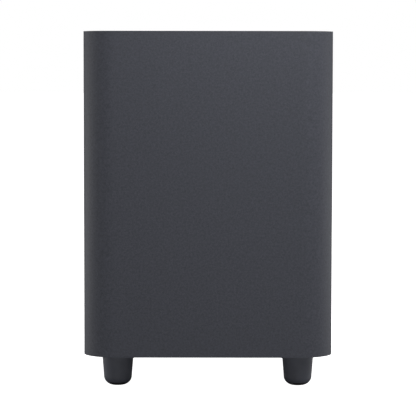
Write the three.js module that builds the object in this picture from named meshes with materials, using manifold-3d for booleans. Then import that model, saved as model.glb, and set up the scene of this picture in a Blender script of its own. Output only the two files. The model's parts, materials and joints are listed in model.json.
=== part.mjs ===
// A wireless down-firing subwoofer, the bass cabinet that stands on the floor beside a soundbar.
// Millimetres, +Z up. The origin is on the floor under the cabinet's centre, the plain front faces -Y,
// and the reflex port and the amplifier panel are in the rear wall, on +Y.
import * as THREE from "three";
import { mergeVertices } from "three/addons/utils/BufferGeometryUtils.js";
import Module from "manifold-3d";

const wasm = await Module();
wasm.setup();

// ---------------------------------------------------------------- driving dimensions

const WIDTH = 305; // the cabinet is as deep as it is wide
const HEIGHT = 435; // floor to top
const LIFT = 39; // floor to the cabinet's lower edge
const CORNER_R = 40; // outside radius of the four upright corners
const WALL = 12;
const GAP = 0.3; // between pieces that meet
const RIM = 3.2; // wall left standing round the top panel
const TOP_THICK = 12;
const BAFFLE_THICK = 15;
const BAFFLE_RECESS = 2; // the baffle sits this far up inside the lower edge
const BRACE_Z = 294;
const BRACE_THICK = 12;
const LINING_THICK = 18;

const FOOT_AT = 111; // each foot's distance from the centre planes
const FOOT_TOP_R = 19.5;
const FOOT_LOW_R = 17.2;
const FOOT_ROUND = { radial: 12.2, rise: 11 }; // elliptical rounding at the foot's lower edge
const SOLE_TOP = 4; // where the rubber sole ends and the foot's plastic begins
const FOOT_BORE_R = 9.4;
const FOOT_SCREW_SEAT = 12.3;

const FRAME_R = 130; // the driver's mounting flange
const CUTOUT_R = 121;
const REBATE_DEPTH = 6.5;
const SCREW_CIRCLE_R = 125.5;
const FRAME_SCREWS = 8;
const BASKET_ARMS = 6;
const CONE_RIM_R = 95;
const ROLL_R = 9;
const CAP_R = 43.6;
const CAP_RISE = 15;
const COIL_FORMER = { inner: 24.9, outer: 25.6, low: 41, high: 87 };
const POLE_R = 24;

const PORT_Z = 356;
const PORT_R = 32;
const PORT_MOUTH_R = 46.5;
const PORT_FLANGE_R = 50;
const PORT_LENGTH = 214;

const PANEL = { width: 160, height: 200, corner: 10, z: 180, front: 0.9, thick: 3 };
const PANEL_REBATE = 6;
const PANEL_LAND = 12; // the ledge round the opening, which carries the gasket and screws
const POCKET = { width: 56, height: 34, y: -62, floor: 13.5, wall: 2.5 };
const CONTROLS_Y = 68;
const BUTTON_X = -10;
const LIGHT_X = 10;
const CHASSIS = { half: 62, low: -38, high: 82, front: 20, thick: 2, flange: 14 };
const BOARD = { half: 56, front: 27, thick: 1.6 };
const CONTROL_BOARD_FRONT = 12;
const WIRELESS = { x: 30, y: 30, front: 7 };
const POWER_BOARD_Y = -7;
const AMP_BOARD_Y = 51;
const BOARD_HEIGHT = 54;

// ---------------------------------------------------------------- materials

const finish = (color, roughness, metalness = 0) =>
  new THREE.MeshStandardMaterial({ color, roughness, metalness });
const vinyl = finish(0x45474c, 0.55);
const footPlastic = finish(0x38393e, 0.5);
const rubber = finish(0x17181a, 0.8);
const fibreboard = finish(0x8a6b4a, 0.9);
const felt = finish(0xcfcfc9, 1);
const blackSteel = finish(0x1d1e20, 0.45, 0.6);
const zincSteel = finish(0xb9bcc0, 0.35, 0.9);
const paperCone = finish(0x222326, 0.75);
const aluminium = finish(0xa9adb1, 0.4, 0.9);
const copper = finish(0xb06a3a, 0.35, 0.9);
const ferrite = finish(0x2b2c2e, 0.7, 0.1);
const spiderCloth = finish(0xb98a3c, 0.9);
const panelPlastic = finish(0x1b1c1e, 0.6);
const foam = finish(0x26272a, 1);
const circuitBoard = finish(0x1f5a3a, 0.5);
const lens = finish(0xe8ecf0, 0.15);
const sleevePlastic = finish(0x22304f, 0.4);
const wirePlastic = finish(0x1a1a1c, 0.5);

// ---------------------------------------------------------------- shapes and solids

// A closed manifold-3d solid of a three.js geometry, for joining and cutting.
function solidOf(geometry) {
  const bare = new THREE.BufferGeometry();
  bare.setAttribute("position", geometry.getAttribute("position"));
  bare.setIndex(geometry.index);
  const merged = mergeVertices(bare, 1e-4);
  return new wasm.Manifold(
    new wasm.Mesh({
      numProp: 3,
      vertProperties: merged.attributes.position.array,
      triVerts: new Uint32Array(merged.index.array),
    }),
  );
}

function geometryOf(solid) {
  const mesh = solid.getMesh();
  const geometry = new THREE.BufferGeometry();
  geometry.setAttribute("position", new THREE.BufferAttribute(mesh.vertProperties, 3));
  geometry.setIndex(new THREE.BufferAttribute(mesh.triVerts, 1));
  geometry.computeVertexNormals();
  return geometry;
}

const joined = (...geometries) =>
  geometryOf(geometries.map(solidOf).reduce((whole, next) => whole.add(next)));

const cut = (geometry, ...tools) =>
  geometryOf(tools.map(solidOf).reduce((whole, tool) => whole.subtract(tool), solidOf(geometry)));

// A width x height rectangle with round corners, centred on (x, y).
function roundedRect(width, height, corner, x = 0, y = 0) {
  const [right, top, r] = [width / 2, height / 2, corner];
  const shape = new THREE.Shape();
  shape.absarc(x + right - r, y + top - r, r, 0, Math.PI / 2);
  shape.absarc(x - right + r, y + top - r, r, Math.PI / 2, Math.PI);
  shape.absarc(x - right + r, y - top + r, r, Math.PI, 1.5 * Math.PI);
  shape.absarc(x + right - r, y - top + r, r, 1.5 * Math.PI, 2 * Math.PI);
  return shape;
}

const cabinetOutline = (inset) =>
  roundedRect(WIDTH - 2 * inset, WIDTH - 2 * inset, CORNER_R - inset);

const extruded = (shape, low, high, curveSegments = 6) =>
  new THREE.ExtrudeGeometry(shape, {
    depth: high - low,
    bevelEnabled: false,
    curveSegments,
  }).translate(0, 0, low);

// A box from one corner to the other.
function block([x0, y0, z0], [x1, y1, z1]) {
  const box = new THREE.BoxGeometry(x1 - x0, y1 - y0, z1 - z0);
  return box.translate((x0 + x1) / 2, (y0 + y1) / 2, (z0 + z1) / 2);
}

// A solid of revolution round Z from a closed [radius, z] profile, which may touch the axis at both ends.
function turned(profile, segments = 32) {
  const points = profile.map(([r, z]) => new THREE.Vector2(r, z));
  if (THREE.ShapeUtils.area(points) < 0) points.reverse();
  if (points[0].x > 0) points.push(points[0].clone());
  return new THREE.LatheGeometry(points, segments).rotateX(Math.PI / 2);
}

// A round bar along Z, standing on (x, y).
const bar = (r, low, high, x = 0, y = 0, segments = 12) =>
  new THREE.CylinderGeometry(r, r, high - low, segments)
    .rotateX(Math.PI / 2)
    .translate(x, y, (low + high) / 2);

const tubeProfile = (inner, outer, low, high) => [
  [inner, low],
  [outer, low],
  [outer, high],
  [inner, high],
];

// Points on an ellipse's arc in the [radius, z] plane, angles in degrees.
function arcProfile(r, z, radial, rise, from, to, steps) {
  return Array.from({ length: steps + 1 }, (_, i) => {
    const angle = THREE.MathUtils.degToRad(from + ((to - from) * i) / steps);
    return [r + radial * Math.cos(angle), z + rise * Math.sin(angle)];
  });
}

// Carries a geometry drawn in the rear wall's own frame (x, up, depth into the cabinet) to the cabinet's.
const intoRearWall = (geometry, z) =>
  geometry.rotateX(Math.PI / 2).translate(0, WIDTH / 2, z);

// A frame on the rear wall at height z: x to the side, y up, z into the cabinet.
function rearWallFrame(z) {
  const frame = new THREE.Group();
  frame.position.set(0, WIDTH / 2, z);
  frame.rotation.x = Math.PI / 2;
  return frame;
}

function piece(parent, name, geometry, material, position = [0, 0, 0]) {
  const mesh = new THREE.Mesh(geometry, material);
  mesh.name = name;
  mesh.position.set(...position);
  parent.add(mesh);
  return mesh;
}

// A screw whose head lies on z = 0 and whose shank points along +Z.
const screw = (headR, headThick, shankR, length) =>
  turned(
    [
      [0, -headThick],
      [headR * 0.8, -headThick],
      [headR, -headThick * 0.55],
      [headR, 0],
      [shankR, 0],
      [shankR, length - shankR],
      [0, length],
    ],
    8,
  );

const ringOf = (count, radius, startDegrees = 0) =>
  Array.from({ length: count }, (_, i) => {
    const angle = THREE.MathUtils.degToRad(startDegrees + (360 * i) / count);
    return [radius * Math.cos(angle), radius * Math.sin(angle)];
  });

const CORNERS = {
  front_left: [-FOOT_AT, -FOOT_AT],
  front_right: [FOOT_AT, -FOOT_AT],
  rear_left: [-FOOT_AT, FOOT_AT],
  rear_right: [FOOT_AT, FOOT_AT],
};
const BAFFLE_Z = LIFT + BAFFLE_RECESS;
const PANEL_SCREWS = [-1, 1].flatMap((side) =>
  [-1, 0, 1].map((row) => [
    side * (PANEL.width / 2 - PANEL_LAND / 2),
    row * (PANEL.height / 2 - PANEL_LAND / 2),
  ]),
);
const frameScrewPlaces = ringOf(FRAME_SCREWS, SCREW_CIRCLE_R, 22.5);

// ---------------------------------------------------------------- cabinet

// The four walls are one wrapped board with round corners. A rebate holds the top panel.
function cabinetShell() {
  const walls = cut(
    extruded(cabinetOutline(0), LIFT, HEIGHT),
    extruded(cabinetOutline(WALL), LIFT - 1, HEIGHT + 1),
    extruded(cabinetOutline(RIM), HEIGHT - TOP_THICK, HEIGHT + 1),
  );
  const opening = roundedRect(PANEL.width - 2 * PANEL_LAND, PANEL.height - 2 * PANEL_LAND, 6);
  const rebate = roundedRect(PANEL.width + 0.8, PANEL.height + 0.8, PANEL.corner + 0.4);
  const panelTools = [
    extruded(opening, -1, WALL + 1, 3),
    extruded(rebate, -1, PANEL_REBATE, 3),
    ...PANEL_SCREWS.map(([x, y]) => bar(2.2, PANEL_REBATE - 1, WALL + 1, x, y, 8)),
  ];
  const portTools = [bar(44.2, -1, WALL + 1, 0, 0, 32), bar(PORT_FLANGE_R + 0.7, -1, 3.6, 0, 0, 32)];
  return cut(
    walls,
    ...panelTools.map((tool) => intoRearWall(tool, PANEL.z)),
    ...portTools.map((tool) => intoRearWall(tool, PORT_Z)),
  );
}

function bottomBaffle() {
  return cut(
    extruded(cabinetOutline(WALL + GAP), 0, BAFFLE_THICK),
    bar(CUTOUT_R, -1, BAFFLE_THICK + 1, 0, 0, 36),
    bar(FRAME_R + 1, -1, REBATE_DEPTH, 0, 0, 36),
    ...frameScrewPlaces.map(([x, y]) => bar(2.6, 0, BAFFLE_THICK + 1, x, y, 8)),
    ...Object.values(CORNERS).map(([x, y]) => bar(3, -1, BAFFLE_THICK + 1, x, y, 8)),
  );
}

// A shelf across the cabinet with four windows, which stiffens the walls and lets the air through.
function windowBrace() {
  const window = { size: 96, at: 66 };
  const windows = [-1, 1].flatMap((sx) =>
    [-1, 1].map((sy) =>
      extruded(
        roundedRect(window.size, window.size, 16, sx * window.at, sy * window.at),
        -1,
        BRACE_THICK + 1,
        3,
      ),
    ),
  );
  return cut(extruded(cabinetOutline(WALL + GAP), 0, BRACE_THICK), ...windows);
}

// Felt along the front and side walls, in one U-shaped strip below the brace.
function dampingLining() {
  const [low, high, end] = [66, BRACE_Z - 4, 96];
  return cut(
    extruded(cabinetOutline(WALL + GAP), low, high, 3),
    extruded(cabinetOutline(WALL + GAP + LINING_THICK), low - 1, high + 1, 3),
    block([-WIDTH, end, low - 1], [WIDTH, WIDTH, high + 1]),
  );
}

function cabinet() {
  const group = new THREE.Group();
  piece(group, "cabinet_shell", cabinetShell(), vinyl);
  const topLow = HEIGHT - TOP_THICK + GAP;
  const top = extruded(cabinetOutline(RIM + GAP), topLow, HEIGHT - GAP);
  piece(group, "top_panel", top, vinyl);
  piece(group, "bottom_baffle", bottomBaffle(), fibreboard, [0, 0, BAFFLE_Z]);
  piece(group, "window_brace", windowBrace(), fibreboard, [0, 0, BRACE_Z]);
  piece(group, "damping_lining", dampingLining(), felt);
  return group;
}

// ---------------------------------------------------------------- feet

// Each foot is a tapered cup whose round lower edge carries on into a rubber sole.
function footGeometries() {
  const { radial, rise } = FOOT_ROUND;
  const flatR = FOOT_LOW_R - radial;
  const meets = (z) => THREE.MathUtils.radToDeg(Math.asin((rise - z) / rise));
  const edge = (from, to, steps) =>
    arcProfile(flatR, rise, radial, rise, -from, -to, steps);
  const top = BAFFLE_Z - GAP;
  const foot = turned(
    [
      [3, top],
      [FOOT_TOP_R, top],
      ...edge(0, meets(SOLE_TOP + GAP / 2), 4),
      [FOOT_BORE_R, SOLE_TOP + GAP / 2],
      [FOOT_BORE_R, FOOT_SCREW_SEAT],
      [3, FOOT_SCREW_SEAT],
    ],
    20,
  );
  const sole = turned(
    [
      [0, 0],
      ...edge(90, meets(SOLE_TOP - GAP / 2), 4),
      [FOOT_BORE_R - GAP, SOLE_TOP - GAP / 2],
      [FOOT_BORE_R - GAP, 8],
      [0, 8],
    ],
    20,
  );
  const fixing = screw(6, 3, 2.5, 40);
  return { foot, sole, fixing };
}

function feet() {
  const group = new THREE.Group();
  const { foot, sole, fixing } = footGeometries();
  for (const [corner, [x, y]] of Object.entries(CORNERS)) {
    piece(group, `foot_${corner}`, foot, footPlastic, [x, y, 0]);
    piece(group, `foot_sole_${corner}`, sole, rubber, [x, y, 0]);
    piece(group, `foot_screw_${corner}`, fixing, zincSteel, [x, y, FOOT_SCREW_SEAT - GAP]);
  }
  return group;
}

// ---------------------------------------------------------------- driver
// Heights are above the baffle's lower face. The cone opens downwards.

const PLATE_LOW = 70.3;
const PLATE_THICK = 8;
const MAGNET_THICK = 24;
const MAGNET_LOW = PLATE_LOW + PLATE_THICK + GAP;
const BACK_LOW = MAGNET_LOW + MAGNET_THICK + GAP;

// Pressed steel basket: flange, ledge for the surround, slanted arms, spider ledge and magnet seat.
function driverFrame() {
  const basket = turned(
    [
      [FRAME_R, 0.5],
      [FRAME_R, 4.3],
      [119.8, 4.3],
      [119.8, 18],
      [88, 53.5],
      [88, 57],
      [78, 57],
      [78, 70],
      [30, 70],
      [30, 67],
      [75, 67],
      [75, 54],
      [85.2, 54],
      [85.2, 52.2],
      [116.8, 17],
      [116.8, 6.9],
      [112.5, 6.9],
      [112.5, 3.9],
      [118.2, 3.9],
      [118.2, 0.5],
    ],
    36,
  );
  const window = new THREE.Shape([
    new THREE.Vector2(60, -23),
    new THREE.Vector2(130, -63.5),
    new THREE.Vector2(130, 63.5),
    new THREE.Vector2(60, 23),
  ]);
  const windows = Array.from({ length: BASKET_ARMS }, (_, i) =>
    extruded(window, 21, 50).rotateZ((2 * Math.PI * i) / BASKET_ARMS),
  );
  const holes = frameScrewPlaces.map(([x, y]) => bar(2.5, 0, 5, x, y, 8));
  return cut(basket, ...windows, ...holes);
}

// The cone's curve from rim to neck, as [radius, height].
function conePoints(steps, offset) {
  const curve = new THREE.QuadraticBezierCurve(
    new THREE.Vector2(CONE_RIM_R - 5, 3.9 + offset),
    new THREE.Vector2(56, 18 + offset),
    new THREE.Vector2(COIL_FORMER.outer + GAP, 44 + offset),
  );
  return curve.getPoints(steps).map((p) => [p.x, p.y]);
}

const cone = () =>
  turned([
    [CONE_RIM_R + 0.5, 3.9],
    ...conePoints(4, 0),
    ...conePoints(4, 1.5).reverse(),
    [CONE_RIM_R + 0.5, 5.4],
  ]);

function dustCap() {
  const sphereR = (CAP_R ** 2 + CAP_RISE ** 2) / (2 * CAP_RISE);
  const low = 13.7;
  const half = THREE.MathUtils.radToDeg(Math.asin(CAP_R / sphereR));
  const arc = (r) => arcProfile(0, low + sphereR, r, r, -90, -90 + half, 4);
  return turned([...arc(sphereR), ...arc(sphereR - 1.5).reverse()]);
}

// A half-roll rubber surround with a flat land on the cone's rim and one under the frame's ledge.
function surround() {
  const rollAt = CONE_RIM_R + ROLL_R;
  const [land, thick] = [2.3, 1.3];
  const roll = (r, from, to) => arcProfile(rollAt, land + thick / 2, r, r, from, to, 6);
  return turned([
    [CONE_RIM_R - 4.8, land],
    ...roll(ROLL_R + thick / 2, 184, 356),
    [117.6, land],
    [117.6, land + thick],
    ...roll(ROLL_R - thick / 2, 356, 184),
    [CONE_RIM_R - 4.8, land + thick],
  ]);
}

// Corrugated cloth disc that centres the coil.
function spider() {
  const [waves, thick, inner, outer] = [4, 1.2, 29, 76];
  const wave = Array.from({ length: 2 * waves + 1 }, (_, i) => [
    inner + ((outer - inner) * i) / (2 * waves),
    53.1 + (i % 2 ? 1.6 : -1.2),
  ]);
  const lower = [[COIL_FORMER.outer + GAP, 52.4], ...wave, [84.8, 52.4]];
  const upper = lower.map(([r, z]) => [r, z + thick]).reverse();
  return turned([...lower, ...upper]);
}

// Two blades in a moulded block, riveted outside the basket's rear arm.
const terminalBlock = () =>
  joined(
    block([-13, 108.6, 31], [13, 116, 45]),
    block([-8.4, 111.6, 44], [-3.6, 112.4, 54]),
    block([3.6, 111.6, 44], [8.4, 112.4, 54]),
  );

const backPlate = () =>
  turned([
    [6, PLATE_LOW],
    [POLE_R, PLATE_LOW],
    [POLE_R, BACK_LOW],
    [58, BACK_LOW],
    [58, BACK_LOW + PLATE_THICK],
    [6, BACK_LOW + PLATE_THICK],
  ]);

function driver() {
  const group = new THREE.Group();
  group.position.z = BAFFLE_Z;
  const { inner, outer, low, high } = COIL_FORMER;
  const plateTop = PLATE_LOW + PLATE_THICK;
  const gasket = cut(
    turned(tubeProfile(CUTOUT_R + 1, FRAME_R - 0.5, 4.6, 6.2), 36),
    ...frameScrewPlaces.map(([x, y]) => bar(2.6, 4, 7, x, y, 8)),
  );
  piece(group, "driver_frame", driverFrame(), blackSteel);
  piece(group, "driver_gasket", gasket, foam);
  piece(group, "cone", cone(), paperCone);
  piece(group, "surround", surround(), rubber);
  piece(group, "dust_cap", dustCap(), paperCone);
  piece(group, "spider", spider(), spiderCloth);
  piece(group, "voice_coil_former", turned(tubeProfile(inner, outer, low, high)), aluminium);
  piece(group, "voice_coil", turned(tubeProfile(25.9, 27.4, 63.3, 85.3)), copper);
  piece(group, "front_plate", turned(tubeProfile(28.6, 58, PLATE_LOW, plateTop)), zincSteel);
  const magnetProfile = tubeProfile(36, 66, MAGNET_LOW, MAGNET_LOW + MAGNET_THICK);
  piece(group, "magnet", turned(magnetProfile), ferrite);
  piece(group, "back_plate", backPlate(), zincSteel);
  piece(group, "terminal_block", terminalBlock(), panelPlastic);
  const fixing = screw(4.4, 2.4, 2.1, 16);
  frameScrewPlaces.forEach(([x, y], i) =>
    piece(group, `driver_screw_${i + 1}`, fixing, blackSteel, [x, y, 0.2]),
  );
  return group;
}

// ---------------------------------------------------------------- reflex port
// Drawn in a rear wall frame: z is the depth into the cabinet.

function portFlange() {
  const flareEnd = 26;
  const flare = arcProfile(PORT_MOUTH_R, flareEnd, PORT_MOUTH_R - PORT_R, flareEnd - GAP, 180, 270, 6);
  return turned([
    ...flare,
    [PORT_FLANGE_R - 0.4, GAP],
    [PORT_FLANGE_R, GAP + 0.4],
    [PORT_FLANGE_R, 3.3],
    [43.6, 3.3],
    [37.6, 10],
    [37.6, 50],
    [34.9, 50],
    [34.9, 36],
    [PORT_R, 36],
  ]);
}

// The tube plugs into the flange's socket and ends in a flare of its own.
function portTube() {
  const [plain, wall] = [196, 2.5];
  const flare = (r) =>
    arcProfile(PORT_R + 12.5, plain, 12.5 - r, PORT_LENGTH - plain, 180, 90, 4);
  return turned([[PORT_R, 36.3], ...flare(0), ...flare(wall).reverse(), [PORT_R + wall, 36.3]]);
}

function reflexPort() {
  const group = rearWallFrame(PORT_Z);
  piece(group, "port_flange", portFlange(), panelPlastic);
  piece(group, "port_tube", portTube(), panelPlastic);
  return group;
}

// ---------------------------------------------------------------- amplifier panel
// Drawn in a rear wall frame: y is up from the panel's centre, z is the depth into the cabinet.

function rearPanel() {
  const { width, height, corner, front, thick } = PANEL;
  const back = front + thick;
  const pocketOuter = roundedRect(
    POCKET.width + 2 * POCKET.wall,
    POCKET.height + 2 * POCKET.wall,
    7,
    0,
    POCKET.y,
  );
  const boss = (x, y, r, top) => bar(r, back - 1, top - GAP, x, y, 8);
  const bosses = [-1, 1].flatMap((side) => [
    boss(side * 50, -28, 4, CHASSIS.front),
    boss(side * 50, 72, 4, CHASSIS.front),
    boss(side * 19, CONTROLS_Y, 2.4, CONTROL_BOARD_FRONT),
    boss(WIRELESS.x, WIRELESS.y + side * 13, 2.4, WIRELESS.front),
  ]);
  const plate = joined(
    extruded(roundedRect(width, height, corner), front, back, 3),
    extruded(pocketOuter, back - 1, POCKET.floor + POCKET.wall, 2),
    ...bosses,
  );
  return cut(
    plate,
    extruded(roundedRect(POCKET.width, POCKET.height, 5, 0, POCKET.y), 0, POCKET.floor, 2),
    block([-10.6, POCKET.y - 7.2, 12], [10.6, POCKET.y + 7.2, 20]),
    extruded(roundedRect(46, 20, 10, 0, CONTROLS_Y), 0, front + 1.2, 5),
    bar(5.35, 0, back + 1, BUTTON_X, CONTROLS_Y, 20),
    bar(1.85, 0, back + 1, LIGHT_X, CONTROLS_Y, 12),
    ...PANEL_SCREWS.flatMap(([x, y]) => [
      bar(4.2, 0, front + 1.7, x, y, 12),
      bar(2.15, 0, back + 1, x, y, 8),
    ]),
  );
}

function panelGasket() {
  const { width, height, corner } = PANEL;
  const land = 2 * PANEL_LAND - 1;
  const ring = roundedRect(width - 1, height - 1, corner - 0.5);
  ring.holes.push(roundedRect(width - land, height - land, 6));
  const holes = PANEL_SCREWS.map(([x, y]) => bar(2.6, 3, 7, x, y, 8));
  return cut(extruded(ring, 4.2, 5.7, 3), ...holes);
}

// Two-pin figure-of-eight mains inlet, open to the rear.
function mainsInlet() {
  const y = POCKET.y;
  const flangeFront = POCKET.floor - 1.8;
  const socketFloor = flangeFront + 14;
  const housing = joined(
    extruded(roundedRect(25, 17, 3, 0, y), flangeFront, POCKET.floor - GAP, 2),
    extruded(roundedRect(20.4, 13.6, 3, 0, y), POCKET.floor - 1, 31, 2),
  );
  const socket = extruded(roundedRect(15, 8.8, 4.4, 0, y), flangeFront - 1, socketFloor, 4);
  const pins = [-4.3, 4.3].map((x) => bar(1.2, flangeFront + 6, 35, x, y, 8));
  return joined(cut(housing, socket), ...pins);
}

// Round key with a collar behind the panel and a stem towards its switch.
const connectButton = () =>
  turned(
    [
      [0, 1.2],
      [4.4, 1.2],
      [5, 1.7],
      [5, 4.5],
      [6.6, 4.5],
      [6.6, 5.7],
      [1.7, 5.7],
      [1.7, 7.7],
      [0, 7.7],
    ],
    20,
  );

const statusLight = () =>
  turned(
    [
      [0, 1.8],
      [1.5, 1.8],
      [1.5, 4.2],
      [2.4, 4.2],
      [2.4, 5.2],
      [1.5, 5.2],
      [1.5, 10],
      [0, 10],
    ],
    12,
  );

// The switch stands under the button and the light source under its light pipe.
const controlBoard = () =>
  joined(
    block([-22, CONTROLS_Y - 9, CONTROL_BOARD_FRONT], [22, CONTROLS_Y + 9, CONTROL_BOARD_FRONT + 1.6]),
    block([BUTTON_X - 3, CONTROLS_Y - 3, 9], [BUTTON_X + 3, CONTROLS_Y + 3, 12.5]),
    block([LIGHT_X - 1.6, CONTROLS_Y - 1, 10.6], [LIGHT_X + 1.6, CONTROLS_Y + 1, 12.5]),
  );

// Folded aluminium tray that carries both boards on pressed-in pillars.
function ampChassis() {
  const { half, low, high, front, thick, flange } = CHASSIS;
  const tray = cut(
    block([-half, low, front], [half, high, front + flange]),
    block([-half + thick, low - 1, front + thick], [half - thick, high + 1, front + flange + 1]),
  );
  const pillars = [-50, 50].flatMap((x) =>
    [POWER_BOARD_Y, AMP_BOARD_Y].flatMap((y) =>
      [-22, 22].map((dy) => bar(2.6, front + thick - 1, BOARD.front - GAP, x, y + dy, 8)),
    ),
  );
  return joined(tray, ...pillars);
}

const board = (y) =>
  block(
    [-BOARD.half, y - BOARD_HEIGHT / 2, BOARD.front],
    [BOARD.half, y + BOARD_HEIGHT / 2, BOARD.front + BOARD.thick],
  );

const ON_BOARD = BOARD.front + BOARD.thick + GAP;

// Ferrite core round a wound bobbin.
function transformer() {
  const y = POWER_BOARD_Y;
  return joined(
    block([-32, y - 15, ON_BOARD + 3], [2, y + 15, ON_BOARD + 21]),
    block([-28, y - 18, ON_BOARD], [-2, y + 18, ON_BOARD + 4]),
    block([-25, y - 11, ON_BOARD + 3], [-5, y + 11, ON_BOARD + 25]),
  );
}

const bulkCapacitor = () => bar(11, ON_BOARD, ON_BOARD + 26, 28, POWER_BOARD_Y, 24);

function heatsink() {
  const [y, half] = [AMP_BOARD_Y, 32];
  const fins = Array.from({ length: 7 }, (_, i) => {
    const x = -half + 1 + (i * (2 * half - 4)) / 6;
    return block([x, y - 14, ON_BOARD + 5], [x + 2, y + 14, ON_BOARD + 20]);
  });
  return joined(block([-half, y - 14, ON_BOARD + 2], [half, y + 14, ON_BOARD + 6]), ...fins);
}

// A small board with a shielding can, and its aerial's end left bare.
function wirelessModule() {
  const { x, y, front } = WIRELESS;
  return joined(
    block([x - 12, y - 17, front], [x + 12, y + 17, front + 1]),
    block([x - 9, y - 14, front + 0.5], [x + 9, y + 4, front + 3.5]),
  );
}

// A lead of the given radius along a smooth line through the points.
function lead(points, r) {
  const route = new THREE.CatmullRomCurve3(points.map((p) => new THREE.Vector3(...p)));
  const section = new THREE.Shape().absarc(0, 0, r, 0, 2 * Math.PI);
  return new THREE.ExtrudeGeometry(section, { extrudePath: route, steps: 20, curveSegments: 4 });
}

// A board's plug housing, centred on (x, y).
const boardPlug = (x, y) => block([x - 5, y - 4, ON_BOARD], [x + 5, y + 4, ON_BOARD + 7]);

// Two-core lead from the amplifier board down to a plug over the driver's terminals.
function speakerLead() {
  const route = [
    [44, 34, 33],
    [46, 30, 42],
    [50, 10, 50],
    [52, -20, 52],
    [44, -50, 50],
    [26, -64, 45],
    [8, -71, 41.5],
    [0, -76, 40.5],
    [0, -79, 40.5],
  ];
  const terminalPlug = block([-10, -84.7, 37], [10, -78, 44]);
  return joined(lead(route, 2), boardPlug(44, 34), terminalPlug);
}

// Two-core lead from a plug over the inlet's pins to the power board.
function mainsLead() {
  const y = POCKET.y;
  const route = [
    [0, y, 40],
    [-2, y + 1, 46],
    [-12, y + 9, 49],
    [-28, y + 21, 47],
    [-40, y + 31, 41],
    [-44, y + 36, 33],
  ];
  const inletPlug = block([-7, y - 4, 35.3], [7, y + 4, 42]);
  return joined(lead(route, 2.2), inletPlug, boardPlug(-44, y + 36));
}

function amplifier() {
  const group = rearWallFrame(PANEL.z);
  piece(group, "rear_panel", rearPanel(), panelPlastic);
  piece(group, "rear_panel_gasket", panelGasket(), foam);
  piece(group, "mains_inlet", mainsInlet(), panelPlastic);
  piece(group, "connect_button", connectButton(), footPlastic, [BUTTON_X, CONTROLS_Y, 0]);
  piece(group, "status_light", statusLight(), lens, [LIGHT_X, CONTROLS_Y, 0]);
  piece(group, "control_board", controlBoard(), circuitBoard);
  piece(group, "amp_chassis", ampChassis(), aluminium);
  piece(group, "power_board", board(POWER_BOARD_Y), circuitBoard);
  piece(group, "transformer", transformer(), ferrite);
  piece(group, "bulk_capacitor", bulkCapacitor(), sleevePlastic);
  piece(group, "amp_board", board(AMP_BOARD_Y), circuitBoard);
  piece(group, "heatsink", heatsink(), aluminium);
  piece(group, "wireless_module", wirelessModule(), circuitBoard);
  piece(group, "speaker_lead", speakerLead(), wirePlastic);
  piece(group, "mains_lead", mainsLead(), wirePlastic);
  const fixing = screw(3.5, 1.4, 1.75, 14);
  const headSeat = PANEL.front + 1.7 - GAP;
  PANEL_SCREWS.forEach(([x, y], i) =>
    piece(group, `panel_screw_${i + 1}`, fixing, blackSteel, [x, y, headSeat]),
  );
  return group;
}

// ---------------------------------------------------------------- whole object

const subwoofer = new THREE.Group();
subwoofer.add(cabinet(), feet(), driver(), reflexPort(), amplifier());

export default subwoofer;
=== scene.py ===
"""The looks of a down-firing subwoofer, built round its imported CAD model.

Metres, +Z up, with the plain front on -Y and the rear panel and port on +Y.
"""

import json
from math import asin, cos, degrees, pi, radians, sin, sqrt

import bmesh
import bpy
from mathutils import Matrix, Vector, noise


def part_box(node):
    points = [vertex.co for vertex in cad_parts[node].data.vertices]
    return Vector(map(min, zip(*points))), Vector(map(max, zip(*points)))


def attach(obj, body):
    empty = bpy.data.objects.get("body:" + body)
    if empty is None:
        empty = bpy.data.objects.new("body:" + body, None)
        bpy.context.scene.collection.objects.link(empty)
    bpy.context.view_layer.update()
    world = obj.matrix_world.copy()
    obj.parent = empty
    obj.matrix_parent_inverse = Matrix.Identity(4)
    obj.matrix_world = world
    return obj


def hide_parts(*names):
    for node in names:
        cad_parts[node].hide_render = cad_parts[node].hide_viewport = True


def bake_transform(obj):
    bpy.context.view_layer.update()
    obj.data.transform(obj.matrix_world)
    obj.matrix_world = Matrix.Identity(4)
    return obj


CABINET = "cabinet"
CONE_BODY = "cone_assembly"
KEY_BODY = "connect_key"

# Camera, fitted to the photograph's perspective: square to the front, with a slight tilt and roll.
CAMERA_AT = Vector((0.0, -2.657, 0.39))
CAMERA_TILT = radians(-3.85)
CAMERA_ROLL = radians(0.083)
CAMERA_LENS = 179.57

# Sizes the CAD model shares.
BAFFLE_Z = 0.041
FOOT_AT = 0.111
FOOT_TOP_R = 0.0195
FOOT_LOW_R = 0.0172
FOOT_ROUND = 0.0122
FOOT_RISE = 0.011
SOLE_TOP = 0.004
SEAM = 0.0003
CONE_RIM_R = 0.095
ROLL_R = 0.009
COIL_R = 0.0256
CAP_R = 0.0436
CAP_RISE = 0.015
PORT_R = 0.032
PORT_Z = 0.356
REAR_Y = 0.1525
CORNER_R = 0.040
CONTROLS_Z = 0.248
BUTTON_X = -0.01
INLET_Z = 0.118
PIN_X = 0.0043
PIN_R = 0.00125
PIN_TIP = 0.0005
PIN_DEPTH = 0.0177
PIN_END = 0.0256
BASKET_ARMS = 6

ROUND_STEPS = 96
SHARP_ANGLE = 35
SAME_PLACE = 1e-6
CAD_WELD = 1e-5


# ---------------------------------------------------------------- mesh helpers


def new_object(name, mesh):
    obj = bpy.data.objects.new(name, mesh)
    bpy.context.scene.collection.objects.link(obj)
    return obj


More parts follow.
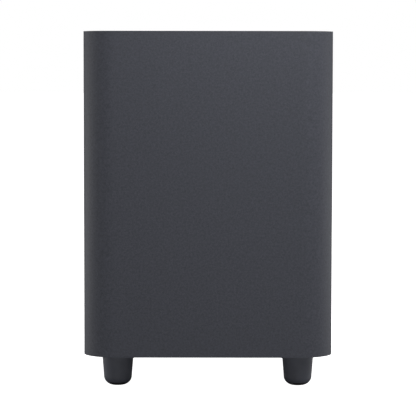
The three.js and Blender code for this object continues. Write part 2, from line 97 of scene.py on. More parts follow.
def mesh_from(name, verts, faces, sharp=SHARP_ANGLE):
    """A smooth-shaded mesh whose edges over the given angle stay sharp."""
    mesh = bpy.data.meshes.new(name)
    mesh.from_pydata(verts, [], faces)
    bm = bmesh.new()
    bm.from_mesh(mesh)
    bmesh.ops.remove_doubles(bm, verts=bm.verts, dist=SAME_PLACE)
    bmesh.ops.recalc_face_normals(bm, faces=bm.faces)
    bm.to_mesh(mesh)
    bm.free()
    mesh.shade_smooth()
    mesh.set_sharp_from_angle(angle=radians(sharp))
    return mesh


def bevel(obj, width):
    edges = obj.modifiers.new("edges", "BEVEL")
    edges.width = width
    edges.segments = 2
    edges.limit_method = "ANGLE"
    edges.angle_limit = radians(SHARP_ANGLE)
    edges.harden_normals = True
    edges.use_clamp_overlap = True


def arc(r, z, radial, rise, start, end, steps):
    """Points [radius, height] on an ellipse's arc, angles in degrees."""
    angles = [radians(start + (end - start) * i / steps) for i in range(steps + 1)]
    return [(r + radial * cos(a), z + rise * sin(a)) for a in angles]


def swept_faces(count, rings, closed):
    """Quads between rings of a closed section, with caps where the sweep is open."""
    faces = []
    for ring in range(rings if closed else rings - 1):
        low, high = ring * count, ((ring + 1) % rings) * count
        for i in range(count):
            j = (i + 1) % count
            faces.append((low + i, low + j, high + j, high + i))
    if not closed:
        faces.append(tuple(range(count)))
        faces.append(tuple(reversed(range((rings - 1) * count, rings * count))))
    return faces


def swept(profile, start=0, end=360, steps=ROUND_STEPS):
    """Vertices and faces of a closed [radius, height] section turned round Z."""
    closed = end - start >= 360
    rings = steps if closed else steps + 1
    verts = []
    for ring in range(rings):
        a = radians(start + (end - start) * ring / steps)
        verts += [(r * cos(a), r * sin(a), z) for r, z in profile]
    return verts, swept_faces(len(profile), rings, closed)


def joined(*parts):
    verts, faces = [], []
    for part_verts, part_faces in parts:
        first = len(verts)
        verts += part_verts
        faces += [tuple(first + i for i in face) for face in part_faces]
    return verts, faces


def turned(name, profile, steps=ROUND_STEPS, sharp=SHARP_ANGLE):
    return mesh_from(name, *swept(profile, steps=steps), sharp)


def tube(name, points, r):
    """A round tube along a smooth line through the points."""
    bevel_steps, line_steps = 3, 8
    curve = bpy.data.curves.new(name, "CURVE")
    curve.dimensions = "3D"
    curve.resolution_u = line_steps
    curve.bevel_depth = r
    curve.bevel_resolution = bevel_steps
    curve.use_fill_caps = True
    spline = curve.splines.new("BEZIER")
    spline.bezier_points.add(len(points) - 1)
    for knot, place in zip(spline.bezier_points, points):
        knot.co = place
        knot.handle_left_type = knot.handle_right_type = "AUTO"
    return new_object(name, curve)


# ---------------------------------------------------------------- materials


class Nodes:
    """A material's node tree, with short calls for the nodes used here."""

    def __init__(self, name):
        self.material = bpy.data.materials.new(name)
        self.material.use_nodes = True
        self.tree = self.material.node_tree
        self.shader = self.tree.nodes["Principled BSDF"]
        self.coords = self.add("ShaderNodeTexCoord").outputs["Object"]

    def add(self, kind, **inputs):
        node = self.tree.nodes.new(kind)
        for key, value in inputs.items():
            socket = node.inputs[key.replace("_", " ")]
            if isinstance(value, bpy.types.NodeSocket):
                self.tree.links.new(value, socket)
            else:
                socket.default_value = value
        return node

    def link(self, output, socket):
        self.tree.links.new(output, self.shader.inputs[socket])

    def stretched(self, scale):
        mapping = self.add("ShaderNodeMapping", Vector=self.coords)
        mapping.inputs["Scale"].default_value = scale
        return mapping.outputs["Vector"]

    def noise(self, scale, detail=4.0, rough=0.55, vector=None):
        node = self.add("ShaderNodeTexNoise", Vector=vector or self.coords)
        node.inputs["Scale"].default_value = scale
        node.inputs["Detail"].default_value = detail
        node.inputs["Roughness"].default_value = rough
        return node.outputs["Fac"]

    def voronoi(self, scale):
        node = self.add("ShaderNodeTexVoronoi", Vector=self.coords)
        node.inputs["Scale"].default_value = scale
        return node.outputs["Distance"]

    def wave(self, scale, direction, distortion=0.0):
        node = self.add("ShaderNodeTexWave", Vector=self.coords)
        node.bands_direction = direction
        node.inputs["Scale"].default_value = scale
        node.inputs["Distortion"].default_value = distortion
        return node.outputs["Fac"]

    def math(self, operation, a, b):
        node = self.tree.nodes.new("ShaderNodeMath")
        node.operation = operation
        for socket, value in zip(node.inputs, (a, b)):
            if isinstance(value, bpy.types.NodeSocket):
                self.tree.links.new(value, socket)
            else:
                socket.default_value = value
        return node.outputs[0]

    def ramp(self, factor, stops):
        """Colours the factor by [(position, (r, g, b)), ...]."""
        node = self.tree.nodes.new("ShaderNodeValToRGB")
        self.tree.links.new(factor, node.inputs["Fac"])
        elements = node.color_ramp.elements
        elements[0].position, elements[1].position = stops[0][0], stops[-1][0]
        for position, _ in stops[1:-1]:
            elements.new(position)
        for element, (_, colour) in zip(elements, stops):
            element.color = (*colour, 1)
        return node.outputs["Color"]

    def colour(self, factor, dark, light, low=0.35, high=0.65):
        self.link(self.ramp(factor, [(low, dark), (high, light)]), "Base Color")

    def roughness(self, factor, low, high):
        node = self.add("ShaderNodeMapRange", Value=factor)
        node.inputs["From Min"].default_value = 0.3
        node.inputs["From Max"].default_value = 0.7
        node.inputs["To Min"].default_value = low
        node.inputs["To Max"].default_value = high
        self.link(node.outputs["Result"], "Roughness")

    def bump(self, height, strength, distance):
        node = self.add("ShaderNodeBump", Height=height)
        node.inputs["Strength"].default_value = strength
        node.inputs["Distance"].default_value = distance
        self.link(node.outputs["Normal"], "Normal")

    def plain(self, **values):
        for name, value in values.items():
            self.shader.inputs[name.replace("_", " ")].default_value = value


def vinyl():
    """Charcoal wrap with a fine, slightly mottled grain."""
    n = Nodes("vinyl")
    fine = n.noise(900, detail=3, rough=0.6)
    blotch = n.noise(380, detail=2)
    mix = n.math("ADD", n.math("MULTIPLY", fine, 0.6), n.math("MULTIPLY", blotch, 0.4))
    n.colour(mix, (0.040, 0.0426, 0.0540), (0.072, 0.0761, 0.0957), 0.36, 0.64)
    n.roughness(fine, 0.56, 0.70)
    n.bump(fine, 0.35, 0.0002)
    n.plain(Specular_IOR_Level=0.45)
    return n.material


def foot_plastic():
    n = Nodes("foot_plastic")
    fine = n.noise(1300, detail=2)
    n.colour(n.noise(60), (0.071, 0.075, 0.095), (0.084, 0.089, 0.112))
    n.roughness(fine, 0.36, 0.46)
    n.bump(fine, 0.15, 0.0001)
    return n.material


def rubber():
    n = Nodes("rubber")
    fine = n.noise(1500, detail=3)
    n.colour(n.noise(220), (0.018, 0.018, 0.020), (0.026, 0.026, 0.028))
    n.roughness(fine, 0.62, 0.78)
    n.bump(fine, 0.2, 0.0001)
    return n.material


def painted_board():
    """Black paint that lets the board's short fibres show."""
    n = Nodes("painted_board")
    fibres = n.noise(420, detail=5, rough=0.7)
    n.colour(fibres, (0.013, 0.013, 0.014), (0.024, 0.024, 0.026))
    n.roughness(fibres, 0.5, 0.72)
    n.bump(fibres, 0.4, 0.0002)
    return n.material


def fibreboard():
    n = Nodes("fibreboard")
    fibres = n.noise(700, detail=6, rough=0.75)
    n.colour(fibres, (0.20, 0.12, 0.06), (0.42, 0.29, 0.17), 0.3, 0.7)
    n.roughness(fibres, 0.8, 0.95)
    n.bump(fibres, 0.5, 0.0002)
    return n.material


def wadding():
    """Loose white fibres."""
    n = Nodes("wadding")
    fibres = n.noise(260, detail=8, rough=0.8, vector=n.stretched((1, 1, 3)))
    n.colour(fibres, (0.52, 0.52, 0.50), (0.86, 0.86, 0.84), 0.3, 0.7)
    n.roughness(fibres, 0.9, 1.0)
    n.bump(fibres, 0.9, 0.002)
    n.plain(Sheen_Weight=0.4, Sheen_Roughness=0.6)
    return n.material


def black_steel():
    """Powder coat with a fine orange peel."""
    n = Nodes("black_steel")
    peel = n.noise(750, detail=1)
    n.colour(n.noise(90), (0.012, 0.012, 0.013), (0.018, 0.019, 0.020))
    n.roughness(peel, 0.32, 0.46)
    n.bump(peel, 0.25, 0.0002)
    return n.material


def zinc_steel():
    n = Nodes("zinc_steel")
    brushed = n.noise(300, detail=5, vector=n.stretched((1, 1, 14)))
    n.colour(n.noise(35), (0.50, 0.51, 0.50), (0.62, 0.63, 0.64))
    n.roughness(brushed, 0.24, 0.42)
    n.bump(brushed, 0.1, 0.0001)
    n.plain(Metallic=1.0)
    return n.material


def aluminium():
    n = Nodes("aluminium")
    rolled = n.noise(240, detail=5, vector=n.stretched((18, 1, 1)))
    n.colour(n.noise(50), (0.60, 0.61, 0.62), (0.72, 0.73, 0.74))
    n.roughness(rolled, 0.28, 0.45)
    n.bump(rolled, 0.1, 0.0001)
    n.plain(Metallic=1.0)
    return n.material


def cone_paper():
    """Black pressed pulp, with short fibres and coarser flock."""
    n = Nodes("cone_paper")
    fibres = n.noise(520, detail=7, rough=0.8)
    flock = n.voronoi(330)
    mix = n.math("ADD", n.math("MULTIPLY", fibres, 0.75), n.math("MULTIPLY", flock, 0.3))
    n.colour(mix, (0.012, 0.012, 0.013), (0.036, 0.036, 0.038), 0.35, 0.75)
    n.roughness(fibres, 0.62, 0.85)
    n.bump(mix, 0.5, 0.0004)
    return n.material


def spider_cloth():
    """Amber woven cotton, stiff with resin."""
    n = Nodes("spider_cloth")
    weave = n.math("MULTIPLY", n.wave(420, "X"), n.wave(420, "Y"))
    n.colour(weave, (0.26, 0.12, 0.02), (0.60, 0.34, 0.09), 0.1, 0.6)
    n.roughness(n.noise(80), 0.5, 0.75)
    n.bump(weave, 0.6, 0.0003)
    return n.material


def copper_wire():
    """A close winding: one ridge for each turn."""
    n = Nodes("copper_wire")
    turns = n.wave(620, "Z")
    n.colour(turns, (0.30, 0.09, 0.03), (0.72, 0.30, 0.13), 0.1, 0.7)
    n.roughness(n.noise(200), 0.26, 0.38)
    n.bump(turns, 0.4, 0.0001)
    n.plain(Metallic=1.0, Coat_Weight=0.4)
    return n.material


def ferrite():
    n = Nodes("ferrite")
    grit = n.noise(1100, detail=5, rough=0.7)
    n.colour(grit, (0.018, 0.018, 0.020), (0.040, 0.040, 0.043))
    n.roughness(grit, 0.5, 0.7)
    n.bump(grit, 0.3, 0.0002)
    return n.material


def panel_plastic():
    """Black moulded plastic with a spark-eroded texture."""
    n = Nodes("panel_plastic")
    spark = n.noise(1500, detail=2, rough=0.7)
    n.colour(n.noise(300), (0.015, 0.015, 0.016), (0.023, 0.023, 0.025))
    n.roughness(spark, 0.46, 0.62)
    n.bump(spark, 0.45, 0.0002)
    return n.material


def foam():
    n = Nodes("foam")
    cells = n.voronoi(900)
    n.colour(cells, (0.010, 0.010, 0.011), (0.030, 0.030, 0.032), 0.1, 0.7)
    n.roughness(cells, 0.85, 1.0)
    n.bump(cells, 0.7, 0.0004)
    return n.material


def circuit_board():
    """Green solder mask over raised tracks."""
    n = Nodes("circuit_board")
    tracks = n.wave(160, "DIAGONAL", distortion=6)
    pads = n.voronoi(260)
    mix = n.math("MULTIPLY", tracks, n.math("ADD", pads, 0.4))
    n.colour(mix, (0.005, 0.050, 0.022), (0.020, 0.150, 0.062), 0.25, 0.55)
    n.roughness(mix, 0.28, 0.40)
    n.bump(mix, 0.3, 0.0002)
    return n.material


def light_lens():
    n = Nodes("light_lens")
    frost = n.noise(900, detail=2)
    n.colour(frost, (0.80, 0.84, 0.86), (0.92, 0.95, 0.96))
    n.roughness(frost, 0.12, 0.30)
    n.plain(Transmission_Weight=0.7, IOR=1.49)
    return n.material


def sleeve():
    n = Nodes("sleeve")
    stretch = n.noise(90, detail=3, vector=n.stretched((1, 1, 6)))
    n.colour(stretch, (0.010, 0.020, 0.055), (0.016, 0.030, 0.080))
    n.roughness(stretch, 0.22, 0.34)
    n.bump(stretch, 0.15, 0.0003)
    return n.material


def wire():
    n = Nodes("wire")
    fine = n.noise(700, detail=2)
    n.colour(n.noise(150), (0.012, 0.012, 0.013), (0.020, 0.020, 0.022))
    n.roughness(fine, 0.38, 0.5)
    n.bump(fine, 0.1, 0.0001)
    return n.material


def pale_floor():
    """White where the camera sees it, and a mid grey to the light that bounces off it."""
    n = Nodes("pale_floor")
    n.colour(n.noise(3, detail=2), (0.84, 0.84, 0.84), (0.86, 0.86, 0.86))
    n.plain(Roughness=1.0, Emission_Color=(1, 1, 1, 1), Emission_Strength=FLOOR_GLOW)
    path = n.add("ShaderNodeLightPath")
    grey = n.add("ShaderNodeBsdfDiffuse")
    grey.inputs["Color"].default_value = FLOOR_BOUNCE
    mix = n.add("ShaderNodeMixShader")
    n.tree.links.new(path.outputs["Is Camera Ray"], mix.inputs[0])
    n.tree.links.new(grey.outputs["BSDF"], mix.inputs[1])
    n.tree.links.new(n.shader.outputs["BSDF"], mix.inputs[2])
    n.tree.links.new(mix.outputs["Shader"], n.tree.nodes["Material Output"].inputs["Surface"])
    return n.material


MAKERS = {
    "vinyl": vinyl,
    "foot_plastic": foot_plastic,
    "rubber": rubber,
    "painted_board": painted_board,
    "fibreboard": fibreboard,
    "wadding": wadding,
    "black_steel": black_steel,
    "zinc_steel": zinc_steel,
    "aluminium": aluminium,
    "cone_paper": cone_paper,
    "spider_cloth": spider_cloth,
    "copper_wire": copper_wire,
    "ferrite": ferrite,
    "panel_plastic": panel_plastic,
    "foam": foam,
    "circuit_board": circuit_board,
    "light_lens": light_lens,
    "sleeve": sleeve,
    "wire": wire,
}


def finish(obj, slot):
    """Gives a piece its material."""
    obj.data.materials.clear()
    obj.data.materials.append(MATERIALS[slot])


def piece(name, mesh, slot, body, *nodes, at=(0, 0, 0)):
    """A new piece that rides on a body and stands for CAD nodes."""
    obj = new_object(name, mesh)
    obj.location = at
    finish(obj, slot)
    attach(obj, body)
    if nodes:
        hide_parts(*nodes)
    return obj


# ---------------------------------------------------------------- CAD nodes


def smoothing_group():
    """Welds a faceted solid and smooths it, except where faces meet at over 30 degrees."""
    group = bpy.data.node_groups.new("smooth_solid", "GeometryNodeTree")
    group.is_modifier = True
    group.interface.new_socket("Geometry", in_out="INPUT", socket_type="NodeSocketGeometry")
    group.interface.new_socket("Geometry", in_out="OUTPUT", socket_type="NodeSocketGeometry")
    start = group.nodes.new("NodeGroupInput")
    end = group.nodes.new("NodeGroupOutput")
    weld = group.nodes.new("GeometryNodeMergeByDistance")
    weld.inputs["Distance"].default_value = CAD_WELD
    angle = group.nodes.new("GeometryNodeInputMeshEdgeAngle")
    over = group.nodes.new("FunctionNodeCompare")
    over.operation = "GREATER_THAN"
    over.inputs["B"].default_value = radians(30)
    normals = group.nodes.new("GeometryNodeSetMeshNormal")
    normals.inputs["Remove Custom"].default_value = True
    group.links.new(start.outputs[0], weld.inputs["Geometry"])
    group.links.new(weld.outputs["Geometry"], normals.inputs["Mesh"])
    group.links.new(angle.outputs["Unsigned Angle"], over.inputs["A"])
    group.links.new(over.outputs["Result"], normals.inputs["Edge Sharpness"])
    group.links.new(normals.outputs["Mesh"], end.inputs[0])
    return group


def dissolve_flats(node):
    """Joins the thin triangles of flat faces, which would fold under a bevel."""
    node.modifiers.new("weld", "WELD").merge_threshold = CAD_WELD
    flats = node.modifiers.new("flats", "DECIMATE")
    flats.decimate_type = "DISSOLVE"
    flats.angle_limit = radians(0.5)


def dress_cad_nodes():
    """Every CAD node gets its slot's material and smooth shading, and three get rounded edges."""
    smooth = smoothing_group()
    edge_widths = {"cabinet_shell": 0.0009, "top_panel": 0.0009, "rear_panel": 0.0006}
    for entry in FRAME["record"]["subparts"]:
        node = FRAME["nodes"][entry["node"]]
        finish(node, entry["material_slot"])
        width = edge_widths.get(entry["node"])
        if width:
            dissolve_flats(node)
        smoothing = node.modifiers.new("smooth", "NODES")
        smoothing.node_group = smooth
        if width:
            bevel(node, width)


# ---------------------------------------------------------------- feet


def foot_meshes():
    """The plastic cup and the rubber sole, which share one rounded lower edge."""
    flat_r = FOOT_LOW_R - FOOT_ROUND
    screw_hole_r = 0.003
    pocket_r = 0.0094
    pocket_top = 0.0123
    plug_top = 0.008
    side_steps, edge_steps = 6, 14

    def edge(start, end, steps):
        return arc(flat_r, FOOT_RISE, FOOT_ROUND, FOOT_RISE, -start, -end, steps)

    def angle_at(z):
        return degrees(asin((FOOT_RISE - z) / FOOT_RISE))

    top = BAFFLE_Z - SEAM
    side = [
        (FOOT_TOP_R + (FOOT_LOW_R - FOOT_TOP_R) * i / side_steps, top + (FOOT_RISE - top) * i / side_steps)
        for i in range(side_steps)
    ]
    cup = [
        (screw_hole_r, top),
        *side,
        *edge(0, angle_at(SOLE_TOP + SEAM / 2), edge_steps),
        (pocket_r, SOLE_TOP + SEAM / 2),
        (pocket_r, pocket_top),
        (screw_hole_r, pocket_top),
    ]
    sole = [
        (0, 0),
        *edge(90, angle_at(SOLE_TOP - SEAM / 2), edge_steps),
        (pocket_r - SEAM, SOLE_TOP - SEAM / 2),
        (pocket_r - SEAM, plug_top),
        (0, plug_top),
    ]
    return turned("foot_cup", cup), turned("foot_sole", sole)


def build_feet():
    cup, sole = foot_meshes()
    for corner, x, y in (
        ("front_left", -1, -1),
        ("front_right", 1, -1),
        ("rear_left", -1, 1),
        ("rear_right", 1, 1),
    ):
        at = (x * FOOT_AT, y * FOOT_AT, 0)
        piece(f"foot_cup_{corner}", cup, "foot_plastic", CABINET, f"foot_{corner}", at=at)
        piece(f"sole_{corner}", sole, "rubber", CABINET, f"foot_sole_{corner}", at=at)


# ---------------------------------------------------------------- driver
# Heights are above the baffle's lower face.


def bezier(p0, p1, p2, steps):
    points = []
    for i in range(steps + 1):
        t = i / steps
        points.append(
            tuple(
                (1 - t) ** 2 * a + 2 * t * (1 - t) * b + t * t * c
                for a, b, c in zip(p0, p1, p2)
            )
        )
    return points


def cone_profile():
    thick, rim_z, neck_z, lip = 0.0015, 0.0039, 0.044, 0.005
    edge_r = CONE_RIM_R + 0.0005
    bow = (0.056, 0.018)
    line = bezier((CONE_RIM_R - lip, rim_z), bow, (COIL_R + SEAM, neck_z), 24)
    over = [(r, z + thick) for r, z in reversed(line)]
    return [(edge_r, rim_z), *line, *over, (edge_r, rim_z + thick)]


def cap_profile():
    low, thick = 0.0137, 0.0015
    sphere_r = (CAP_R**2 + CAP_RISE**2) / (2 * CAP_RISE)
    half = degrees(asin(CAP_R / sphere_r))
    under = arc(0, low + sphere_r, sphere_r, sphere_r, -90, -90 + half, 20)
    r = sphere_r - thick
    return [*under, *reversed(arc(0, low + sphere_r, r, r, -90, -90 + half, 20))]


def surround_profile():
    land, thick = 0.0023, 0.0013
    inner_r, outer_r = CONE_RIM_R - 0.0048, 0.1176
    mid = land + thick / 2
    roll_at = CONE_RIM_R + ROLL_R
    outer = ROLL_R + thick / 2
    inner = ROLL_R - thick / 2
    return [
        (inner_r, land),
        *arc(roll_at, mid, outer, outer, 184, 356, 28),
        (outer_r, land),
        (outer_r, land + thick),
        *arc(roll_at, mid, inner, inner, 356, 184, 28),
        (inner_r, land + thick),
    ]


def spider_profile():
    waves, thick, inner, outer = 4, 0.0012, 0.029, 0.076
    rest_z, mid_z, wave_height = 0.0524, 0.0532, 0.0013
    steps = waves * 12
    wave = [
        (
            inner + (outer - inner) * i / steps,
            mid_z - wave_height * cos(2 * pi * waves * i / steps),
        )
        for i in range(steps + 1)
    ]
    under = [(COIL_R + SEAM, rest_z), *wave, (0.0848, rest_z)]
    return [*under, *reversed([(r, z + thick) for r, z in under])]


def basket():
    """Flange and ledge, slanted arms, and the spider's ring with the magnet's seat."""
    rim = [
        (0.130, 0.0005),
        (0.130, 0.0043),
        (0.1198, 0.0043),
        (0.1198, 0.018),
        (0.1171, 0.021),
        (0.1142, 0.0199),
        (0.1168, 0.017),
        (0.1168, 0.0069),
        (0.1125, 0.0069),
        (0.1125, 0.0039),
        (0.1182, 0.0039),
        (0.1182, 0.0005),
    ]
    arm = [(0.1171, 0.021), (0.0911, 0.050), (0.0883, 0.0487), (0.1142, 0.0199)]
    hub = [
        (0.0911, 0.050),
        (0.088, 0.0535),
        (0.088, 0.057),
        (0.078, 0.057),
        (0.078, 0.070),
        (0.030, 0.070),
        (0.030, 0.067),
        (0.075, 0.067),
        (0.075, 0.054),
        (0.0852, 0.054),
        (0.0852, 0.0522),
        (0.0883, 0.0487),
    ]
    half_angle, first_angle, ring_steps = 5.2, 30, 144
    middles = [first_angle + 360 * i / BASKET_ARMS for i in range(BASKET_ARMS)]
    arms = [swept(arm, mid - half_angle, mid + half_angle, 6) for mid in middles]
    rings = [swept(rim, steps=ring_steps), *arms, swept(hub, steps=ring_steps)]
    return mesh_from("basket", *joined(*rings))


def bend_with_radius(obj, outer, inner):
    """Bakes the ring's placement and works out, for each vertex, where it lies between the outer and the
    inner radius; nothing uses the result.
    """
    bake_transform(obj)
    for vert in obj.data.vertices:
        t = (outer - Vector(vert.co[:2]).length) / (outer - inner)
        t = min(max(t, 0.0), 1.0)


def bending_ring(name, profile, slot, node, outer, inner):
    mesh = turned(name, [(r, z + BAFFLE_Z) for r, z in profile], sharp=60)
    obj = new_object(name, mesh)
    finish(obj, slot)
    bend_with_radius(obj, outer, inner)
    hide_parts(node)


def build_driver():
    up = (0, 0, BAFFLE_Z)
    bevel(
        piece("driver_basket", basket(), "black_steel", CABINET, "driver_frame", at=up),
        0.0003,
    )
    piece("cone_body", turned("cone_body", cone_profile()), "cone_paper", CONE_BODY, "cone", at=up)
    piece("cap_dome", turned("cap_dome", cap_profile()), "cone_paper", CONE_BODY, "dust_cap", at=up)
    bending_ring("roll_surround", surround_profile(), "rubber", "surround", 0.1125, CONE_RIM_R)
    bending_ring("corrugated_spider", spider_profile(), "spider_cloth", "spider", 0.078, 0.030)


def build_flexible_leads():
    """The leads from the terminals to the cone, built as fixed tubes."""
    lead_r = 0.0007
    for side, name in ((-1, "left"), (1, "right")):
        route = [
            (side * 0.0134, 0.1112, 0.079),
            (side * 0.0170, 0.1060, 0.084),
            (side * 0.0190, 0.0920, 0.082),
            (side * 0.0170, 0.0740, 0.070),
            (side * 0.0140, 0.0585, 0.0625),
        ]
        curve = tube(f"flexible_lead_{name}", route, lead_r)
        depsgraph = bpy.context.evaluated_depsgraph_get()
        mesh = bpy.data.meshes.new_from_object(curve.evaluated_get(depsgraph))
        lead_name = curve.name
        bpy.data.objects.remove(curve)
        obj = new_object(lead_name, mesh)
        finish(obj, "copper_wire")
        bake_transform(obj)


# ---------------------------------------------------------------- screws


DRIVER_SCREWS = 8
PANEL_SCREWS = 6
# How far in front of a screw's head the cut for its recess begins.
RECESS_START = 0.001
# The undersides of the driver screws' heads, above the baffle's lower face.
HEAD_Z = 0.0002


def screw_mesh(name, head_r, head_thick, shank_r, length, recess):
    """A screw that points along +Z, with a recess cut in its domed head."""
    dome = arc(0, 0, head_r, head_thick, -90, -8, 10)
    profile = [
        *dome,
        (head_r, 0),
        (shank_r, 0),
        (shank_r, length - shank_r),
        (0, length),
    ]
    body = new_object(name, turned(name, profile, steps=32))
    cutter = new_object("cutter", recess)
    cut = body.modifiers.new("recess", "BOOLEAN")
    cut.object = cutter
    cut.solver = "EXACT"
    depsgraph = bpy.context.evaluated_depsgraph_get()
    mesh = bpy.data.meshes.new_from_object(body.evaluated_get(depsgraph))
    bpy.data.objects.remove(body)
    bpy.data.objects.remove(cutter)
    return mesh


def prism(points, low, high):
    count = len(points)
    verts = [(x, y, low) for x, y in points] + [(x, y, high) for x, y in points]
    return verts, swept_faces(count, 2, False)


def hex_recess(r, head_thick, depth):
    points = [(r * cos(i * pi / 3), r * sin(i * pi / 3)) for i in range(6)]
    return mesh_from("hex", *prism(points, -head_thick - RECESS_START, -head_thick + depth))


def cross_recess(r, head_thick, depth):
    """A cross-shaped pit: an inner corner and an arm's end, repeated at each quarter turn."""
    w = r / 3.4
    points = []
    quarter = [(w, w), (w, r), (-w, r)]
    for _ in range(4):
        points += quarter
        quarter = [(-y, x) for x, y in quarter]
    return mesh_from("cross", *prism(points, -head_thick - RECESS_START, -head_thick + depth))


def build_screws():
    hex_head, cross_head = 0.0024, 0.0014
    hexed = screw_mesh(
        "hex_screw",
        head_r=0.0044,
        head_thick=hex_head,
        shank_r=0.0021,
        length=0.016,
        recess=hex_recess(0.0018, hex_head, depth=0.0016),
    )
    crossed = screw_mesh(
        "cross_screw",
        head_r=0.0035,
        head_thick=cross_head,
        shank_r=0.00175,
        length=0.014,
        recess=cross_recess(0.0019, cross_head, depth=0.001),
    )
    for i in range(DRIVER_SCREWS):
        low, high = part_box(f"driver_screw_{i + 1}")
        middle = (low + high) / 2
        obj = new_object(f"hex_screw_{i + 1}", hexed)
        obj.matrix_world = Matrix.Translation((middle.x, middle.y, BAFFLE_Z + HEAD_Z))
        place_screw(obj, f"driver_screw_{i + 1}")
    for i in range(PANEL_SCREWS):
        low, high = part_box(f"panel_screw_{i + 1}")
        middle = (low + high) / 2
        obj = new_object(f"cross_screw_{i + 1}", crossed)
        seat = Matrix.Translation((middle.x, high.y - cross_head, middle.z))
        obj.matrix_world = seat @ Matrix.Rotation(radians(90), 4, "X")
        place_screw(obj, f"panel_screw_{i + 1}")


def place_screw(obj, node):
    finish(obj, "black_steel")
    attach(obj, CABINET)
    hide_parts(node)


# ---------------------------------------------------------------- rear wall


def into_rear_wall(mesh, x, z):
    """Turns a mesh drawn with its depth along +Z into the rear wall at (x, z)."""
    mesh.transform(Matrix.Translation((x, REAR_Y, z)) @ Matrix.Rotation(radians(90), 4, "X"))
    return mesh


def port_flange_profile():
    mouth_r, flange_r, flare_end = 0.0465, 0.050, 0.026
    return [
        *arc(mouth_r, flare_end, mouth_r - PORT_R, flare_end - SEAM, 180, 270, 24),
        *arc(flange_r - 0.0015, SEAM + 0.0015, 0.0015, 0.0015, -90, 0, 5),
        (flange_r, 0.0033),
        (0.0436, 0.0033),
        (0.0376, 0.010),
        (0.0376, 0.050),
        (0.0349, 0.050),
        (0.0349, 0.036),
        (PORT_R, 0.036),
    ]


def port_tube_profile():
    plain, end, wall = 0.196, 0.214, 0.0025

    def flare(r):
        return arc(PORT_R + 0.0125, plain, 0.0125 - r, end - plain, 180, 90, 16)

    start = 0.0363
    return [(PORT_R, start), *flare(0), *reversed(flare(wall)), (PORT_R + wall, start)]


def button_profile():
    """A round key with a shallow dish in its face."""
    dish = arc(0, 0.0012 - 0.0205, 0.0215, 0.0215, 90, 79, 8)
    rim = arc(0.0046, 0.0016, 0.0004, 0.0004, -90, 0, 5)
    return [
        *dish[:-1],
        *rim,
        (0.005, 0.0045),
        (0.0066, 0.0045),
        (0.0066, 0.0057),
        (0.0017, 0.0057),
        (0.0017, 0.0077),
        (0, 0.0077),
    ]


def build_inlet_pins():
    """A plated sleeve with a rounded tip over each pin in the mains inlet."""
    profile = [
        *arc(0, PIN_DEPTH, PIN_R, PIN_TIP, -90, 0, 6),
        (PIN_R, PIN_END),
        (0, PIN_END),
    ]
    for name, x in (("inlet_pin_left", -PIN_X), ("inlet_pin_right", PIN_X)):
        sleeve_mesh = into_rear_wall(turned(name, profile, steps=24), x, INLET_Z)
        piece(name, sleeve_mesh, "zinc_steel", CABINET)


def build_rear():
    flange = into_rear_wall(turned("port_mouth", port_flange_profile()), 0, PORT_Z)
    piece("port_mouth", flange, "panel_plastic", CABINET, "port_flange")
    duct = into_rear_wall(turned("port_duct", port_tube_profile()), 0, PORT_Z)
    piece("port_duct", duct, "panel_plastic", CABINET, "port_tube")
    key = into_rear_wall(turned("round_key", button_profile(), steps=48), BUTTON_X, CONTROLS_Z)
    piece("round_key", key, "foot_plastic", KEY_BODY, "connect_button")
    build_inlet_pins()


# ---------------------------------------------------------------- wadding


def lining_path(inset, end_y):
    """The U-shaped line along the left, front and right walls, at an inset from the outside."""
    side_steps, front_steps, corner_steps, least_r = 14, 16, 8, 0.004
    half = REAR_Y - inset
    r = max(CORNER_R - inset, least_r)
    left = [(-half, end_y - (end_y + half - r) * i / side_steps) for i in range(side_steps + 1)]
    first = arc(-half + r, -half + r, r, r, 180, 270, corner_steps)
    front = [(-half + r + (2 * half - 2 * r) * i / front_steps, -half) for i in range(1, front_steps)]
    second = arc(half - r, -half + r, r, r, 270, 360, corner_steps)
    right = [(-x, y) for x, y in reversed(left)]
    return [*left[:-1], *first, *front, *second, *right[1:]]


def build_wadding():
    """One thick strip, thin at its top and bottom edges, with soft lumps on its inner face."""
    wall_inset, face_inset, margin = 0.0129, 0.0294, 0.002
    lump_height, lump_scale = 0.12, 38
    low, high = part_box("damping_lining")
    outer = lining_path(wall_inset, high.y - margin)
    inner = lining_path(face_inset, high.y - margin)
    rows = 24
    verts, faces = [], []
    for row in range(rows + 1):
        t = row / rows
        z = low.z + margin + (high.z - low.z - 2 * margin) * t
        swell = sqrt(max(1 - (2 * t - 1) ** 8, 0))
        for (ax, ay), (bx, by) in zip(outer, inner):
            middle = Vector(((ax + bx) / 2, (ay + by) / 2, z))
            half = Vector((bx - ax, by - ay, 0)) / 2
            lump = lump_height * noise.noise(middle * lump_scale)
            verts.append(middle - half * swell)
            verts.append(middle + half * (swell * (0.92 + lump)))
    count = len(outer)
    for row in range(rows):
        for i in range(count - 1):
            a = 2 * (row * count + i)
            b = a + 2 * count
            faces.append((a, a + 2, b + 2, b))
            faces.append((a + 1, b + 1, b + 3, a + 3))
        for i in (0, count - 1):
            a = 2 * (row * count + i)
            b = a + 2 * count
            faces.append((a, b, b + 1, a + 1))
    for row in (0, rows):
        for i in range(count - 1):
            a = 2 * (row * count + i)
            faces.append((a, a + 1, a + 3, a + 2))
    mesh = mesh_from("wadding_strip", verts, faces, sharp=80)
    obj = piece("wadding_strip", mesh, "wadding", CABINET, "damping_lining")
    rounded = obj.modifiers.new("rounded", "SUBSURF")
    rounded.levels = rounded.render_levels = 1


# ---------------------------------------------------------------- camera, light and floor

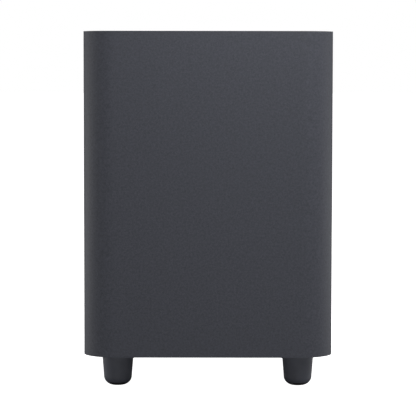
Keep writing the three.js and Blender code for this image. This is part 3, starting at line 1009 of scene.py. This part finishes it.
# name: place, point aimed at, width, height (all in metres), watts
LIGHTS = {
    "key": ((1.0, -1.1, 1.5), (0, 0, 0.35), 0.4, 0.4, 7.5),
    "top_edge": ((0.2, -0.6, 0.9), (0, 0, 0.42), 0.5, 0.3, 3.5),
    "low_front": ((0.0, -2.2, 0.15), (0, 0, 0.03), 1.6, 0.2, 2.5),
    "left_side": ((-1.6, -0.3, 0.6), (0, 0, 0.24), 0.6, 1.2, 4.0),
    "right_side": ((1.5, -0.3, 0.6), (0, 0, 0.24), 0.6, 1.2, 3.0),
    "left_rim": ((-1.3, 0.5, 0.3), (0, 0, 0.2), 0.4, 1.2, 3.0),
    "right_rim": ((1.3, 0.5, 0.3), (0, 0, 0.2), 0.4, 1.2, 1.0),
    "left_low": ((-1.0, 0.4, 0.15), (0, 0, 0.1), 0.3, 0.3, 1.0),
    "right_low": ((1.0, 0.4, 0.15), (0, 0, 0.1), 0.3, 0.3, 1.0),
    "overhead": ((0.0, 0.2, 2.2), (0, 0, 0.43), 1.2, 1.2, 14.0),
    "rear_fill": ((0.7, 2.4, 1.4), (0, 0, 0.2), 1.4, 1.4, 18.0),
}
AMBIENT = 0.15
FLOOR_GLOW = 1.1
FLOOR_BOUNCE = (0.42, 0.42, 0.42, 1)


def add_camera():
    camera = bpy.data.objects.new("camera", bpy.data.cameras.new("camera"))
    bpy.context.scene.collection.objects.link(camera)
    camera.data.lens = CAMERA_LENS
    camera.data.sensor_width = 36
    camera.data.clip_end = 100
    tilt = Matrix.Rotation(radians(90) + CAMERA_TILT, 4, "X")
    roll = Matrix.Rotation(CAMERA_ROLL, 4, "Z")
    camera.matrix_world = Matrix.Translation(CAMERA_AT) @ tilt @ roll
    bpy.context.scene.camera = camera


def add_lights():
    for name, (place, aim, width, height, watts) in LIGHTS.items():
        data = bpy.data.lights.new(name, "AREA")
        data.shape = "RECTANGLE"
        data.size = width
        data.size_y = height
        data.energy = watts
        light = bpy.data.objects.new(name, data)
        bpy.context.scene.collection.objects.link(light)
        light.location = place
        light.rotation_euler = (Vector(aim) - Vector(place)).to_track_quat("-Z", "Y").to_euler()


def add_world():
    """White where the camera sees it, and a soft grey as light."""
    world = bpy.data.worlds.new("studio")
    bpy.context.scene.world = world
    world.use_nodes = True
    tree = world.node_tree
    background = tree.nodes["Background"]
    background.inputs["Color"].default_value = (1, 1, 1, 1)
    path = tree.nodes.new("ShaderNodeLightPath")
    strength = tree.nodes.new("ShaderNodeMapRange")
    strength.inputs["To Min"].default_value = AMBIENT
    strength.inputs["To Max"].default_value = 1.0
    tree.links.new(path.outputs["Is Camera Ray"], strength.inputs["Value"])
    tree.links.new(strength.outputs["Result"], background.inputs["Strength"])


def add_floor():
    half, cells = 30.0, 8
    verts = [
        (-half + 2 * half * i / cells, -half + 2 * half * j / cells, 0)
        for j in range(cells + 1)
        for i in range(cells + 1)
    ]
    row = cells + 1
    faces = [
        (j * row + i, j * row + i + 1, (j + 1) * row + i + 1, (j + 1) * row + i)
        for j in range(cells)
        for i in range(cells)
    ]
    floor = new_object("floor", mesh_from("floor", verts, faces))
    floor.data.materials.append(pale_floor())


# ---------------------------------------------------------------- the scene

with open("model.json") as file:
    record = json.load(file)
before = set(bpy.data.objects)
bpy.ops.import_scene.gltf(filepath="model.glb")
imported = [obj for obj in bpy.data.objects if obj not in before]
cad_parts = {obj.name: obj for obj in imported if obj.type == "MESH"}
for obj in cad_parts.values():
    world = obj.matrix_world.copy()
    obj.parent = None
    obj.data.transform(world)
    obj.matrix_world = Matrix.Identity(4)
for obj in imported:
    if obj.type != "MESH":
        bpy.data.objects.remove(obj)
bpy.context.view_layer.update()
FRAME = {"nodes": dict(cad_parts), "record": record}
add_camera()
add_lights()
add_world()
add_floor()
bpy.context.scene.view_settings.view_transform = "Standard"

MATERIALS = {name: make() for name, make in MAKERS.items()}
dress_cad_nodes()
build_feet()
build_driver()
build_flexible_leads()
build_screws()
build_rear()
build_wadding()
